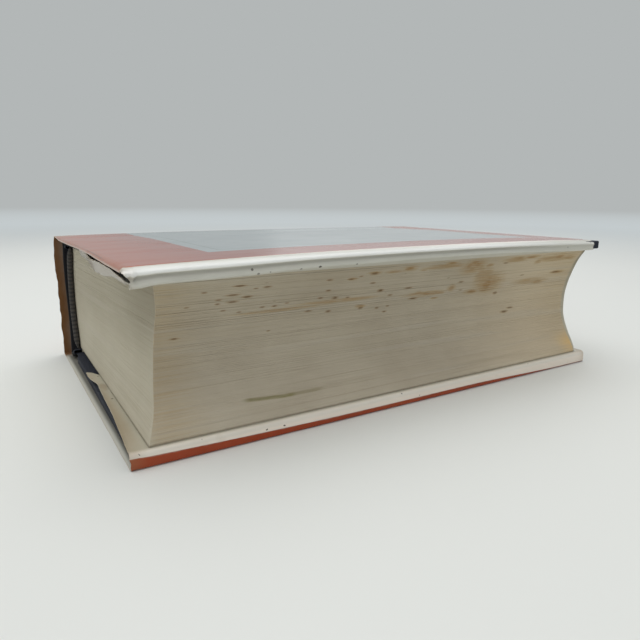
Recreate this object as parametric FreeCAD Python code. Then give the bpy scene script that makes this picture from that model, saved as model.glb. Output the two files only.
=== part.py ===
import FreeCAD, Part
import math
import os

# A thick hardback book in a loose paper jacket, closed and lying on its lower cover.
# Sizes are in millimetres. +X runs from the tail of the book to its head, +Y from the fore-edge to the
# spine, and +Z up. Every piece is drawn with X = 0 at the middle of the pages and Y = 0 at the lower
# fore-edge fold, and is moved at the end so that the origin is under the middle of the whole book.

V = FreeCAD.Vector

# Overall sizes
case_height = 237.8
cover_width = 158.0
book_thickness = 65.5

# Sheet and board thicknesses
jacket_paper = 0.25
cloth = 0.45
board = 3.1
endpaper = 0.2
band_strip = 0.3
mull = 0.3
lining_paper = 0.25
spine_card = 1.6

# Case: the two cloth-covered boards
case_fore_edge = 1.3
turn_in = 15.0
pastedown_margin = 3.0
hinge_setback = 18.0
groove_width = 7.0

# How the worn book sits: the case stands a little to the head, the upper cover leans further that way
case_shift = 0.6
upper_case_lean = 2.5
jacket_slip = 0.9
upper_jacket_lean = 1.6

# Jacket, cut a little higher than the case, with its folds and flaps
jacket_extra = 2.2
upper_overhang = 0.9
upper_fold_radius = 2.2
lower_fold_radius = 1.0
upper_flap_width = 94.0
lower_flap_width = 84.0
upper_flap_lift = 0.3
lower_flap_lift = 1.2
flap_slant = 4.0
corner_chip_x = 3.2
corner_chip_y = 7.0

# Pages: the fore-edge is hollow, the back is round, and the pages are twisted towards the head
square = 5.4
page_gap = 0.1
flyleaf = 0.2
fore_edge_foot = 2.0
fore_edge_hollow = 15.4
fore_edge_top = 4.8
back_foot_setback = 14.2
back_round_setback = 8.0
# Each point is a share of the pages' height and how far the fore-edge has slid towards the head there
page_twist = ((0.0, -0.2), (0.1, 2.4), (0.26, 5.4), (0.5, 7.3), (0.8, 8.0), (1.0, 5.4))

# Head and tail bands, and the glued back
bead_radius = 1.5
band_length = 12.0
lining_inset = 2.0

# Case spine: a curved card inside the cloth, with a hollow between it and the pages
spine_hollow = 2.6
spine_shoulder_setback = 8.5
spine_shoulder_z = 1.2
card_end_gap = 0.5
groove_slope = 3.0

# Room past a cut, so that every cut runs clear of the faces
clear = 5.0

# Heights worked out from the sheets that lie on each other in a cover
board_low = jacket_paper + cloth
board_high = board_low + board
turn_in_high = board_high + cloth
pastedown_high = turn_in_high + endpaper
pages_low = pastedown_high + lower_flap_lift + jacket_paper + page_gap
pages_high = book_thickness - (pastedown_high + upper_flap_lift + jacket_paper + page_gap)

# Places along Y and X
hinge_y = cover_width - hinge_setback
back_foot = cover_width - back_foot_setback
back_round = cover_width - back_round_setback
back_top = hinge_y
spine_shoulder_y = cover_width - spine_shoulder_setback
board_fore = case_fore_edge + cloth
board_back = hinge_y - groove_width
jacket_height = case_height + jacket_extra
page_height = case_height - 2 * square
half_pages = page_height / 2
lower_case_x = case_shift
upper_case_x = case_shift + upper_case_lean
lower_jacket_x = case_shift - jacket_slip
upper_jacket_x = lower_jacket_x + upper_jacket_lean


def box(x_low, x_high, y_low, y_high, z_low, z_high):
    size = V(x_high - x_low, y_high - y_low, z_high - z_low)
    return Part.makeBox(size.x, size.y, size.z, V(x_low, y_low, z_low))


def prism(points, direction):
    """A solid from a flat outline of points, drawn along a direction."""
    return Part.Face(Part.makePolygon(points + [points[0]])).extrude(direction)


def rounded_fold(x_low, x_high, y_low, y_high, z_low, z_high, radius):
    """A block whose two edges along the fore-edge are rounded."""
    block = box(x_low, x_high, y_low, y_high, z_low, z_high)
    fold_edges = [e for e in block.Edges
                  if abs(e.CenterOfMass.y - y_low) < 1e-6 and abs(e.BoundBox.XLength - (x_high - x_low)) < 1e-6]
    return block.makeFillet(radius, fold_edges)


def leaning_slab(x_low, x_high, lean):
    """Everything between two end planes that lean towards the head by the time they reach the top."""
    foot = -clear
    top = book_thickness + clear
    slope = lean / book_thickness
    outline = [V(x_low + slope * foot, 0, foot), V(x_high + slope * foot, 0, foot),
               V(x_high + slope * top, 0, top), V(x_low + slope * top, 0, top)]
    slab = prism(outline, V(0, 3 * cover_width, 0))
    slab.translate(V(0, -cover_width, 0))
    return slab


def to_upper(shape):
    """The same piece on the upper cover, turned over about the middle of the thickness."""
    return shape.mirror(V(0, 0, book_thickness / 2), V(0, 0, 1))


def make_board(case_x):
    half = case_height / 2 - cloth
    return box(case_x - half, case_x + half, board_fore, board_back, board_low, board_high)


def turn_in_window(case_x, inset, z_low, z_high):
    """The part of a board's inner face that the turned-in cloth leaves bare."""
    half = case_height / 2 - turn_in - inset
    return box(case_x - half, case_x + half, case_fore_edge + turn_in + inset, board_back - inset, z_low, z_high)


def make_cover_cloth(case_x):
    """Cloth over the outside of a board, turned in on three sides and run down into the groove."""
    half = case_height / 2
    wrapped = box(case_x - half, case_x + half, case_fore_edge, board_back + cloth, jacket_paper, turn_in_high)
    wrapped = wrapped.cut(make_board(case_x))
    wrapped = wrapped.cut(turn_in_window(case_x, 0, board_high, turn_in_high + clear))
    groove = box(case_x - half, case_x + half, board_back + cloth, hinge_y, board_high, turn_in_high)
    return wrapped.fuse(groove).removeSplitter()


def make_pastedown(case_x):
    """Endpaper glued inside the cover, over the turned-in cloth and down onto the board."""
    half = case_height / 2 - pastedown_margin
    sheet = box(case_x - half, case_x + half, case_fore_edge + pastedown_margin, hinge_y, board_high, pastedown_high)
    sheet = sheet.cut(make_cover_cloth(case_x))
    return sheet.cut(turn_in_window(case_x, endpaper, board_high + endpaper, pastedown_high + clear))


def make_cover_jacket(jacket_x, fold_y, radius, flap_lift, flap_width):
    """Outer panel, fore-edge fold and flap of the jacket on one cover, as one folded sheet."""
    x_low = jacket_x - jacket_height / 2
    x_high = jacket_x + jacket_height / 2
    flap_low = pastedown_high + flap_lift
    flap_high = flap_low + jacket_paper
    outside = rounded_fold(x_low, x_high, fold_y, hinge_y, 0, flap_high, radius)
    inside = rounded_fold(x_low - clear, x_high + clear, fold_y + jacket_paper, hinge_y + clear,
                          jacket_paper, flap_low, radius - jacket_paper)
    sheet = outside.cut(inside)
    past_flap = box(x_low - clear, x_high + clear, fold_y + flap_width, hinge_y + clear,
                    jacket_paper, flap_high + clear)
    slant_start = fold_y + 2 * radius
    tail_slant = prism([V(x_low - clear, slant_start, flap_low), V(x_low, slant_start, flap_low),
                        V(x_low + flap_slant, fold_y + flap_width + clear, flap_low),
                        V(x_low - clear, fold_y + flap_width + clear, flap_low)], V(0, 0, clear))
    return sheet.cut(past_flap).cut(tail_slant)


def arc_through(y_foot, y_middle, y_top, z_foot, z_top):
    """An arc in the plane across the book, through its foot, its middle and its top."""
    return Part.ArcOfCircle(V(0, y_foot, z_foot), V(0, y_middle, (z_foot + z_top) / 2), V(0, y_top, z_top))


back_arc = arc_through(back_foot, back_round, back_top, pages_low, pages_high)
fore_arc = arc_through(fore_edge_foot, fore_edge_hollow, fore_edge_top, pages_low, pages_high)
shell_round = back_round + mull + lining_paper + spine_hollow + cloth + spine_card + cloth
shell_arc = arc_through(spine_shoulder_y, shell_round, spine_shoulder_y,
                        spine_shoulder_z, book_thickness - spine_shoulder_z)


def ring(arc, inner, outer, x_low, x_high, z_low, z_high):
    """A curved sheet that follows an arc, between two offsets from it."""
    centre = arc.Center
    start = V(x_low, centre.y, centre.z)
    length = x_high - x_low
    sheet = Part.makeCylinder(arc.Radius + outer, length, start, V(1, 0, 0))
    sheet = sheet.cut(Part.makeCylinder(arc.Radius + inner, length, start, V(1, 0, 0)))
    far = centre.y + arc.Radius + outer + clear
    return sheet.common(box(x_low, x_high, centre.y, far, z_low, z_high))


def twist_envelope():
    """The space between the tail and head ends of the pages, whose fore-edge side slides towards the head."""
    fore_limit = -clear
    back_limit = cover_width + clear
    sections = []
    for share, slide in page_twist:
        z = pages_low + share * (pages_high - pages_low)
        fore_x = slide * (1 - fore_limit / back_round)
        back_x = slide * (1 - back_limit / back_round)
        corners = [V(fore_x - half_pages, fore_limit, z), V(fore_x + half_pages, fore_limit, z),
                   V(back_x + half_pages, back_limit, z), V(back_x - half_pages, back_limit, z)]
        sections.append(Part.makePolygon(corners + [corners[0]]))
    return Part.makeLoft(sections, True, False)


def make_paper():
    """All the leaves together, from the lower flyleaf to the upper one."""
    foot = Part.makeLine(V(0, back_foot, pages_low), V(0, fore_edge_foot, pages_low))
    top = Part.makeLine(V(0, fore_edge_top, pages_high), V(0, back_top, pages_high))
    outline = Part.Face(Part.Wire([foot, fore_arc.toShape(), top, back_arc.toShape()]))
    length = page_height + 4 * max(slide for share, slide in page_twist)
    paper = outline.extrude(V(length, 0, 0))
    paper.translate(V(-length / 2, 0, 0))
    return paper.common(twist_envelope())


def layer(paper, z_low, z_high):
    """The leaves between two heights."""
    return paper.common(box(-jacket_height, jacket_height, -cover_width, 2 * cover_width, z_low, z_high))


def make_band(paper, toward_head):
    """A woven band at one end of the back: a round bead on the pages' ends and a strip glued under the mull."""
    centre = back_arc.Center
    edge = half_pages
    bead_ring = back_arc.Radius + band_strip - bead_radius
    bead = Part.makeTorus(bead_ring, bead_radius, V(edge + bead_radius, centre.y, centre.z), V(1, 0, 0))
    bead = bead.common(box(0, cover_width, centre.y, 2 * cover_width, pages_low, pages_high))
    strip = ring(back_arc, 0, band_strip, edge - band_length, edge + bead_radius, pages_low, pages_high)
    band = bead.fuse(strip)
    if not toward_head:
        band = band.mirror(V(0, 0, 0), V(1, 0, 0))
    return band.cut(paper)


def spine_profile(inset):
    """The space inside the case spine across the book, with its two shoulders and grooves, less an inset."""
    groove_z = board_high + inset
    shoulder_z = spine_shoulder_z + inset
    high = book_thickness
    slope_start = hinge_y + groove_slope / 2
    slope_end = slope_start + groove_slope
    arc_radius = shell_arc.Radius - inset
    centre = shell_arc.Center
    shoulder_y = centre.y + math.sqrt(arc_radius ** 2 - (shoulder_z - centre.z) ** 2)
    foot = [V(0, hinge_y - inset, groove_z), V(0, slope_start, groove_z),
            V(0, slope_end, shoulder_z), V(0, shoulder_y, shoulder_z)]
    top = [V(0, p.y, high - p.z) for p in foot]
    edges = [Part.makeLine(foot[i], foot[i + 1]) for i in range(3)]
    middle = V(0, centre.y + arc_radius, high / 2)
    edges.append(Part.Arc(foot[3], middle, top[3]).toShape())
    edges += [Part.makeLine(top[i + 1], top[i]) for i in (2, 1, 0)]
    edges.append(Part.makeLine(top[0], foot[0]))
    return Part.Face(Part.Wire(edges))


def spine_block(inset):
    """The case spine's inside as a long block, ready to be cut to the leaning ends."""
    length = 2 * jacket_height
    block = spine_profile(inset).extrude(V(length, 0, 0))
    block.translate(V(-length / 2, 0, 0))
    return block


def card_sheet(inner, outer):
    """A curved sheet inside the case spine, given by two depths under the cloth's outer face."""
    end = spine_shoulder_z + cloth + card_end_gap
    return ring(shell_arc, -outer, -inner, -jacket_height, jacket_height, end, book_thickness - end)


def case_spine_slab(inset):
    x_low = lower_case_x - case_height / 2 + inset
    x_high = lower_case_x + case_height / 2 - inset
    return leaning_slab(x_low, x_high, upper_case_lean)


def make_spine_card():
    return card_sheet(cloth, cloth + spine_card).common(case_spine_slab(cloth))


def make_spine_cloth():
    """Cloth round the case spine, with the ends turned in over the card."""
    shell = spine_block(0).cut(spine_block(cloth))
    shell = shell.common(case_spine_slab(0))
    turned = card_sheet(cloth, cloth + spine_card + cloth).common(case_spine_slab(0))
    turned = turned.cut(card_sheet(0, cloth + spine_card + 2 * cloth).common(case_spine_slab(turn_in)))
    turned = turned.cut(make_spine_card())
    return shell.fuse(turned).removeSplitter()


def make_spine_jacket():
    """Spine panel of the jacket and the two strips between its folds and the covers' hinges."""
    length = 2 * jacket_height
    outside = box(-length, length, hinge_y, cover_width, 0, book_thickness)
    inside = box(-length - clear, length + clear, hinge_y - clear, cover_width - jacket_paper,
                 jacket_paper, book_thickness - jacket_paper)
    x_low = lower_jacket_x - jacket_height / 2
    return outside.cut(inside).common(leaning_slab(x_low, x_low + jacket_height, upper_jacket_lean))


def make_parts():
    paper = make_paper()
    glued_end = half_pages - band_length
    lining_end = half_pages - lining_inset
    upper_jacket = to_upper(make_cover_jacket(upper_jacket_x, -upper_overhang, upper_fold_radius,
                                              upper_flap_lift, upper_flap_width))
    chip_x = upper_jacket_x + jacket_height / 2 - corner_chip_x
    chip = box(chip_x, chip_x + clear, -clear, corner_chip_y - upper_overhang, book_thickness / 2,
               book_thickness + clear)
    return {
        "text_block": layer(paper, pages_low + flyleaf, pages_high - flyleaf),
        "back_flyleaf": layer(paper, pages_low, pages_low + flyleaf),
        "front_flyleaf": layer(paper, pages_high - flyleaf, pages_high),
        "tail_band": make_band(paper, False),
        "head_band": make_band(paper, True),
        "spine_mull": ring(back_arc, 0, mull, -glued_end, glued_end, pages_low, pages_high),
        "spine_lining_paper": ring(back_arc, mull, mull + lining_paper, -lining_end, lining_end,
                                   pages_low, pages_high),
        "spine_card": make_spine_card(),
        "spine_cloth": make_spine_cloth(),
        "jacket_spine": make_spine_jacket(),
        "back_board": make_board(lower_case_x),
        "back_cloth": make_cover_cloth(lower_case_x),
        "back_pastedown": make_pastedown(lower_case_x),
        "jacket_back": make_cover_jacket(lower_jacket_x, 0, lower_fold_radius,
                                         lower_flap_lift, lower_flap_width),
        "front_board": to_upper(make_board(upper_case_x)),
        "front_cloth": to_upper(make_cover_cloth(upper_case_x)),
        "front_pastedown": to_upper(make_pastedown(upper_case_x)),
        "jacket_front": upper_jacket.cut(chip),
    }


def to_origin(parts):
    """Moves every piece so that the origin is under the middle of the book, on the surface it lies on."""
    whole = FreeCAD.BoundBox()
    for shape in parts.values():
        whole.add(shape.optimalBoundingBox(False, False))
    move = V(-(whole.XMin + whole.XMax) / 2, -(whole.YMin + whole.YMax) / 2, -whole.ZMin)
    for shape in parts.values():
        shape.translate(move)
    return move, whole


parts = make_parts()
move, whole = to_origin(parts)
os.makedirs("parts", exist_ok=True)
for name, shape in parts.items():
    solids = shape.Solids
    solid = solids[0] if len(solids) == 1 else Part.makeCompound(solids)
    print(name, "solids", len(solids), "valid", solid.isValid(), "volume", round(solid.Volume, 1))
    solid.exportStep("parts/" + name + ".step")
print("size", round(whole.XLength, 3), round(whole.YLength, 3), round(whole.ZLength, 3))
print("hinge line at y", round(hinge_y + move.y, 3), "upper z", book_thickness, "moved", move)
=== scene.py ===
import bpy
import math
import numpy as np
from mathutils import Matrix, Vector, noise


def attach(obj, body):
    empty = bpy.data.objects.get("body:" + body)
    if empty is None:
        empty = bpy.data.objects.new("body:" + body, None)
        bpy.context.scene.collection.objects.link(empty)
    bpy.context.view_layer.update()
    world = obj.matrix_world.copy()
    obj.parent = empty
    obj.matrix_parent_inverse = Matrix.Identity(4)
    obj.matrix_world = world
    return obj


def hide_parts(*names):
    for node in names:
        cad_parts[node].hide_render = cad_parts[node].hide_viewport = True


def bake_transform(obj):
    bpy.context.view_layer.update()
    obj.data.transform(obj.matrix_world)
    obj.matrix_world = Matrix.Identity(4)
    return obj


# A worn hardback book in its paper jacket, lying on its lower cover.
# Lists of places are in millimetres: +X to the head of the book, +Y to the spine, +Z up.

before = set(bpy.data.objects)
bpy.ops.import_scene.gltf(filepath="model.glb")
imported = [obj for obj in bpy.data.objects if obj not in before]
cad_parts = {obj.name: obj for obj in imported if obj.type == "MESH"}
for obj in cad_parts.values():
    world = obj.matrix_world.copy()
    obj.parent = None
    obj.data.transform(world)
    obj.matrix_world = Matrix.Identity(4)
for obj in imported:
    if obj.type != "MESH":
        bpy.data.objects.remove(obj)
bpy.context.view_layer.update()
mm = 0.001

# Sizes shared with the solids
thickness = 65.5
hinge_y = 61.45
blend_start_y = 54.95
spine_y = 79.45
paper = 0.25
cloth = 0.45
pages_low = 6.2
pages_high = 60.2
page_length = 227.0
rng = np.random.default_rng(11)


# Camera, at the photograph's place

camera_data = bpy.data.cameras.new("camera")
camera = bpy.data.objects.new("camera", camera_data)
bpy.context.scene.collection.objects.link(camera)
bpy.context.scene.camera = camera
camera_data.sensor_width = 36.0
camera_data.lens = 30.614
camera_place = Vector((-153.69, -246.17, 86.28))
yaw, pitch, roll = 0.55317, 0.22077, 0.00603
sight = Vector((math.sin(yaw) * math.cos(pitch), math.cos(yaw) * math.cos(pitch), -math.sin(pitch)))
level = Vector((math.cos(yaw), -math.sin(yaw), 0))
upright = level.cross(sight)
right = math.cos(roll) * level + math.sin(roll) * upright
upright = math.cos(roll) * upright - math.sin(roll) * level
camera.matrix_world = (Matrix.Translation(camera_place * mm)
                       @ Matrix((right, upright, -sight)).transposed().to_4x4())
camera_data.clip_start = 0.01
camera_data.clip_end = 50.0


# Curves and chance

def through(points):
    """A smooth function through (place, value) pairs, level past both ends."""
    xs = np.array([p[0] for p in points], float)
    ys = np.array([p[1] for p in points], float)
    slopes = np.gradient(ys, xs)

    def value(x):
        x = np.clip(np.asarray(x, float), xs[0], xs[-1])
        i = np.clip(np.searchsorted(xs, x) - 1, 0, len(xs) - 2)
        h = xs[i + 1] - xs[i]
        t = (x - xs[i]) / h
        return float((2 * t ** 3 - 3 * t ** 2 + 1) * ys[i] + (t ** 3 - 2 * t ** 2 + t) * h * slopes[i]
                     + (3 * t ** 2 - 2 * t ** 3) * ys[i + 1] + (t ** 3 - t ** 2) * h * slopes[i + 1])
    return value


def smooth(low, high, x):
    """0 below low, 1 above high, smooth between. It runs down where low is above high."""
    t = np.clip((np.asarray(x, float) - low) / (high - low), 0, 1)
    return float(t * t * (3 - 2 * t))


def wander(x, y, seed):
    """A smooth random value near -1 to 1."""
    return noise.noise(Vector((x, y, seed)))


def circle_through(foot, middle, top):
    """Centre and radius of the circle through three (y, z) places."""
    (y1, z1), (y2, z2), (y3, z3) = foot, middle, top
    a = np.array([[2 * (y2 - y1), 2 * (z2 - z1)], [2 * (y3 - y1), 2 * (z3 - z1)]])
    b = np.array([y2 ** 2 - y1 ** 2 + z2 ** 2 - z1 ** 2, y3 ** 2 - y1 ** 2 + z3 ** 2 - z1 ** 2])
    y, z = np.linalg.solve(a, b)
    return y, z, math.hypot(y1 - y, z1 - z)


# Finishes

class Level:
    """A socket that holds a value over the surface. Arithmetic on it adds Math nodes."""

    def __init__(self, finish, socket):
        self.finish = finish
        self.socket = socket

    def maths(self, operation, first, second=0.0, third=0.0):
        return self.finish.add("ShaderNodeMath", {"operation": operation}, {0: first, 1: second, 2: third})

    def __add__(self, other):
        return self.maths("ADD", self, other)

    def __radd__(self, other):
        return self.maths("ADD", other, self)

    def __sub__(self, other):
        return self.maths("SUBTRACT", self, other)

    def __rsub__(self, other):
        return self.maths("SUBTRACT", other, self)

    def __mul__(self, other):
        return self.maths("MULTIPLY", self, other)

    def __rmul__(self, other):
        return self.maths("MULTIPLY", other, self)

    def __truediv__(self, other):
        return self.maths("DIVIDE", self, other)

    def __pow__(self, other):
        return self.maths("POWER", self, other)

    def __neg__(self):
        return self.maths("MULTIPLY", self, -1.0)

    def size(self):
        return self.maths("ABSOLUTE", self)

    def most(self, other):
        return self.maths("MAXIMUM", self, other)

    def least(self, other):
        return self.maths("MINIMUM", self, other)

    def wave(self):
        return self.maths("SINE", self)

    def rise(self, low, high):
        """0 at low and 1 at high, smooth between."""
        settings = {"interpolation_type": "SMOOTHSTEP", "clamp": True}
        span = {"Value": self, "From Min": low, "From Max": high, "To Min": 0.0, "To Max": 1.0}
        return self.finish.add("ShaderNodeMapRange", settings, span)

    def within(self, low, high, soft):
        """1 between low and high, 0 outside."""
        return self.rise(low - soft, low + soft) * (1 - self.rise(high - soft, high + soft))


class Nodes:
    """A node tree under construction."""

    def __init__(self, tree):
        self.tree = tree

    def add(self, kind, settings=None, sockets=None, output=0):
        """A node of that type, with its settings and the values or links of its sockets."""
        node = self.tree.nodes.new(kind)
        for key, value in (settings or {}).items():
            if key == "stops":
                ramp = node.color_ramp
                while len(ramp.elements) < len(value):
                    ramp.elements.new(0.5)
                for element, (place, colour) in zip(ramp.elements, value):
                    element.position = place
                    element.color = colour
            else:
                setattr(node, key, value)
        for key, value in (sockets or {}).items():
            if isinstance(value, Level):
                self.tree.links.new(value.socket, node.inputs[key])
            else:
                node.inputs[key].default_value = value
        return None if output is None else Level(self, node.outputs[output])

    def outputs(self, kind, names, sockets=None):
        """Several outputs of one node."""
        node = self.add(kind, {}, sockets).socket.node
        return [Level(self, node.outputs[name]) for name in names]


class Finish(Nodes):
    """A material under construction."""

    def __init__(self, name, roughness=0.6, sheen=0.0, coat_roughness=0.1, specular=0.5):
        self.material = bpy.data.materials.new(name)
        self.material.use_nodes = True
        super().__init__(self.material.node_tree)
        self.shader = self.tree.nodes["Principled BSDF"]
        self.set(Roughness=roughness, Sheen_Weight=sheen, Coat_Roughness=coat_roughness,
                 Specular_IOR_Level=specular)

    def place(self):
        return self.add("ShaderNodeTexCoord", output="Object")

    def sheet_place(self):
        return self.add("ShaderNodeUVMap", {"uv_map": "sheet"})

    def axes(self, vector):
        return self.outputs("ShaderNodeSeparateXYZ", "XYZ", {0: vector})

    def noise(self, vector, scale, detail=2.0, roughness=0.5, stretch=(1, 1, 1), shift=(0, 0, 0)):
        """Random value from 0 to 1, with scale in features per metre."""
        mapped = self.add("ShaderNodeMapping", {}, {"Vector": vector, "Scale": stretch, "Location": shift})
        return self.add("ShaderNodeTexNoise", {}, {"Vector": mapped, "Scale": scale, "Detail": detail,
                                                   "Roughness": roughness})

    def mix(self, share, first, second):
        """Colour from first to second."""
        return self.add("ShaderNodeMix", {"data_type": "RGBA"}, {0: share, 6: first, 7: second}, output=2)

    def tint(self, base, share, red, green, blue):
        """Base painted over with a colour where the share is high."""
        return self.mix(share, base, colour(red, green, blue))

    def set(self, **sockets):
        for key, value in sockets.items():
            socket = self.shader.inputs[key.replace("_", " ")]
            if isinstance(value, Level):
                self.tree.links.new(value.socket, socket)
            else:
                socket.default_value = value

    def bump(self, height, depth, strength=1.0):
        """Small relief. Depth is in metres for a height from 0 to 1."""
        relief = {"Height": height, "Distance": depth, "Strength": strength}
        self.set(Normal=self.add("ShaderNodeBump", {}, relief))


def colour(red, green, blue):
    """A colour written as it looks, from 0 to 255, as the linear value that a socket takes."""
    def linear(c):
        c = c / 255
        return c / 12.92 if c <= 0.04045 else ((c + 0.055) / 1.055) ** 2.4
    return (linear(red), linear(green), linear(blue), 1.0)


# Each mark on the fore-edge: x, z, half length and half height in mm, and strength
foxing_marks = (
    (-78.2, 55.9, 2.0, 0.30, 0.75), (-80.0, 52.4, 2.0, 0.32, 0.75), (-74.3, 51.2, 1.5, 0.36, 0.75),
    (-91.0, 54.3, 0.9, 0.28, 0.6), (-79.8, 49.7, 1.8, 0.32, 0.75), (-85.2, 50.9, 1.0, 0.25, 0.6),
    (-85.4, 49.4, 0.8, 0.25, 0.7), (-83.0, 46.6, 1.0, 0.25, 0.5), (-76.7, 45.4, 0.9, 0.22, 0.5),
    (-100.6, 38.0, 1.2, 0.25, 0.85), (-67.4, 46.4, 0.9, 0.25, 0.6), (-62.4, 46.3, 0.9, 0.28, 0.7),
    (-57.1, 47.0, 0.9, 0.22, 0.5), (-67.0, 54.5, 1.4, 0.3, 0.6), (-71.5, 54.3, 0.9, 0.25, 0.5),
    (-96.6, 49.2, 0.9, 0.25, 0.4), (-47.0, 42.5, 1.4, 0.25, 0.6), (-64.0, 36.4, 0.8, 0.25, 0.45),
    (-42.2, 47.6, 1.0, 0.3, 0.6), (-40.2, 55.1, 1.2, 0.3, 0.6), (-39.2, 50.5, 1.0, 0.3, 0.6),
    (-37.5, 41.4, 1.0, 0.4, 0.7), (-35.2, 47.0, 1.1, 0.4, 0.8), (-30.0, 54.6, 1.2, 0.3, 0.6),
    (-29.0, 46.6, 0.8, 0.3, 0.6), (-25.4, 55.6, 0.9, 0.25, 0.6), (-21.3, 41.2, 1.1, 0.5, 0.45),
    (-19.2, 56.4, 1.6, 0.5, 0.7), (-17.9, 52.0, 1.3, 0.4, 0.45), (-12.6, 40.3, 1.0, 0.4, 0.4),
    (-12.5, 48.2, 1.1, 0.5, 0.9), (-8.2, 38.2, 0.9, 0.3, 0.7), (-6.7, 40.6, 0.9, 0.3, 0.4),
    (-6.6, 45.6, 1.1, 0.3, 0.6), (3.0, 48.0, 1.7, 0.3, 0.7), (7.2, 42.7, 1.9, 0.3, 0.85),
    (34.8, 48.3, 1.4, 0.4, 0.6), (36.2, 44.2, 1.2, 0.25, 0.4), (59.8, 56.2, 1.5, 0.3, 0.5),
    (61.4, 40.5, 1.5, 0.7, 0.4), (69.9, 30.0, 1.9, 0.5, 0.75), (74.0, 31.7, 2.0, 0.4, 0.55),
    (77.8, 48.7, 1.6, 0.3, 0.35), (104.4, 48.6, 2.9, 0.5, 0.5),
)
# Each brown stain that ran down between the leaves: x, z, half length and half height in mm, and strength
stain_marks = (
    (-29.1, 54.7, 2.1, 0.5, 0.4), (-21.7, 42.1, 2.1, 0.7, 0.45), (-19.3, 56.6, 2.7, 0.5, 0.6),
    (-8.9, 56.6, 3.5, 0.5, 0.6), (-1.4, 57.4, 2.6, 0.8, 0.9), (7.5, 56.1, 1.9, 0.3, 0.5),
    (9.5, 45.1, 2.4, 0.8, 0.4), (14.5, 44.2, 2.5, 0.6, 0.8), (20.1, 41.7, 1.9, 0.5, 0.4),
    (22.7, 58.5, 2.6, 0.5, 0.7), (23.2, 43.9, 2.6, 0.5, 0.4), (29.8, 45.7, 1.7, 1.1, 0.7),
    (35.4, 56.2, 2.1, 1.7, 0.7), (37.7, 57.8, 2.8, 0.8, 0.8), (38.2, 54.5, 2.1, 0.6, 0.6),
    (40.4, 56.4, 2.2, 1.7, 0.7), (44.0, 42.8, 2.9, 0.8, 0.8), (45.6, 53.5, 2.9, 1.0, 0.4),
    (49.0, 55.8, 2.2, 0.8, 0.45), (52.6, 42.8, 3.0, 0.7, 0.6), (53.5, 45.8, 3.7, 2.2, 0.95),
    (54.2, 48.8, 2.2, 0.6, 0.6), (57.4, 46.5, 2.2, 1.7, 0.5), (66.7, 58.4, 3.9, 0.6, 0.7),
    (76.4, 58.4, 4.0, 0.7, 0.7), (84.5, 55.5, 2.5, 1.1, 0.4), (92.1, 44.1, 4.2, 0.8, 0.6),
    (99.7, 57.4, 3.6, 1.2, 0.8), (106.1, 48.6, 4.4, 0.7, 0.5), (108.8, 56.9, 4.6, 1.2, 0.5),
    (-33.0, 45.6, 16.0, 0.7, 0.4), (-60.0, 44.4, 16.0, 0.5, 0.35), (38.0, 56.2, 2.6, 1.4, 0.65),
    (38.5, 55.6, 7.5, 3.4, 0.35), (54.5, 46.4, 8.5, 4.6, 0.40), (53.8, 44.6, 2.6, 1.5, 0.7),
    (49.0, 50.5, 6.0, 4.0, 0.28), (20.0, 57.0, 12.0, 1.2, 0.3), (96.0, 57.0, 13.0, 1.8, 0.35),
    (86.0, 45.0, 14.0, 1.6, 0.25), (14.0, 44.3, 12.0, 1.2, 0.3), (67.0, 57.6, 10.0, 1.2, 0.3),
)
# Each dark speck on the upper fold: x in mm, share of the way round the fold, size in mm and strength
fold_specks = (
    (-77.2, 0.60, 0.6, 0.8), (-75.0, 0.76, 0.6, 0.7), (-70.5, 0.74, 0.4, 0.6), (-58.3, 0.77, 0.6, 0.7),
    (-50.4, 0.76, 0.8, 1.0), (-34.0, 0.76, 0.6, 0.7), (94.4, 0.58, 0.6, 0.6),
)


def spots(u, z, marks, ragged, roughen):
    """How dark the marks are, and the share of the way to the nearest one, counted in its own size."""
    dark = None
    near = None
    for x, height, half_length, half_height, strength in marks:
        across = (u - x * mm) / (half_length * mm)
        up = (z - height * mm) / (half_height * mm)
        distance = across * across + up * up
        spot = (1 - (distance * (1 + ragged * roughen)).rise(0.1, 1.3)) * strength
        dark = spot if dark is None else dark.most(spot)
        weighed = distance / strength
        near = weighed if near is None else near.least(weighed)
    return dark, near


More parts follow.
